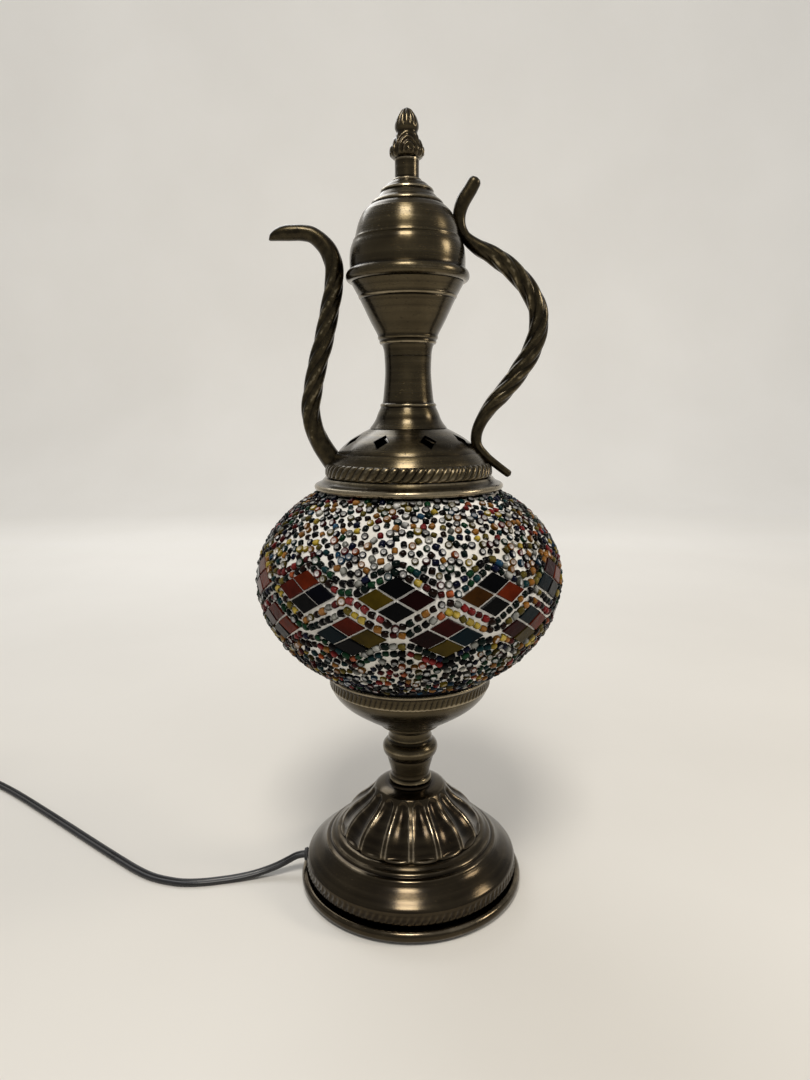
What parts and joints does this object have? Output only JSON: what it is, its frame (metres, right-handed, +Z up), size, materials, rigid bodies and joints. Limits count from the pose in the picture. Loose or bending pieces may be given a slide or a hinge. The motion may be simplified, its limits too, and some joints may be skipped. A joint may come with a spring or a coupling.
{
  "type": "mosaic table lamp",
  "caption": "Ewer-shaped table lamp: antique brass foot, stem and cap with twisted spout and handle round a glass globe coated in bead and tile mosaic, on a cord with rocker switch and plug.",
  "frame": {"origin": "centre of the felt underside, on the table", "axes": "+Z up the lamp's axis, -X towards the spout and the cord, +X towards the handle, -Y is the front in the picture"},
  "size_m": [0.5431, 0.2086, 0.4185],
  "materials": {
    "antique_brass": "spun and aged, brown with pale worn highlights",
    "dark_brass": "spun and aged, darker than the cap",
    "bright_brass": "bare plated contact metal",
    "steel": "zinc plated",
    "iron": "as cast",
    "clear_glass": "clear blown glass",
    "mosaic": "glass beads and tiles in white bedding",
    "felt": "black felt",
    "black_rubber": "soft black rubber",
    "cord_black": "flat twin flex, half gloss",
    "plug_black": "moulded black",
    "holder_white": "white moulded lamp holder"
  },
  "bodies": {
    "base": {"felt_pad": "felt", "base_pan": "dark_brass", "pan_screw_1": "steel", "pan_screw_2": "steel", "pan_screw_3": "steel", "ballast_disc": "iron", "base_foot": "dark_brass", "cord_grommet": "black_rubber", "fluted_dome": "dark_brass", "stem_baluster": "antique_brass", "globe_cup": "antique_brass", "globe_gasket": "black_rubber", "clamp_plate": "steel", "lower_washer": "steel", "lower_nut": "steel", "base_rod": "steel", "cup_washer": "steel", "cup_nut": "steel", "holder_base": "holder_white", "holder_shell": "holder_white", "holder_insulator": "holder_white", "centre_contact": "bright_brass", "screw_shell": "bright_brass", "inner_lead": "cord_black", "cord_run": "cord_black", "switch_base": "plug_black", "switch_cover": "plug_black", "cord_link": "cord_black", "cord_coil": "cord_black", "cord_tie": "black_rubber", "plug_body": "plug_black", "plug_blade_1": "bright_brass", "plug_blade_2": "bright_brass"},
    "globe": {"globe_glass": "clear_glass", "mosaic_coat": "mosaic"},
    "ewer_top": {"rim_skirt": "antique_brass", "shoulder_cap": "antique_brass", "neck_shell": "antique_brass", "funnel_shell": "antique_brass", "dome_band": "antique_brass", "dome_crown": "antique_brass", "finial_tube": "antique_brass", "finial": "antique_brass", "tie_rod": "steel", "cap_spider": "steel", "tie_washer": "steel", "tie_nut": "steel", "spout": "antique_brass", "handle": "antique_brass", "spout_screw": "steel", "handle_lower_screw": "steel", "handle_upper_screw": "steel"},
    "bulb": {"bulb_cap": "bright_brass", "bulb_glass": "clear_glass"},
    "rocker": {"switch_rocker": "black_rubber"}
  },
  "joints": [
    {"name": "globe_lift", "type": "slide", "parent": "base", "child": "globe", "axis": [0, 0, 1], "range_m": [0, 0.09]},
    {"name": "ewer_lift", "type": "slide", "parent": "globe", "child": "ewer_top", "axis": [0, 0, 1], "range_m": [0, 0.04]},
    {"name": "bulb_out", "type": "slide", "parent": "base", "child": "bulb", "axis": [0, 0, 1], "range_m": [0, 0.02]},
    {"name": "switch_rock", "type": "hinge", "parent": "base", "child": "rocker", "pos_m": [-0.3573, 0.114, 0.0113], "axis": [0, -1, 0], "range_deg": [0, 16]}
  ]
}
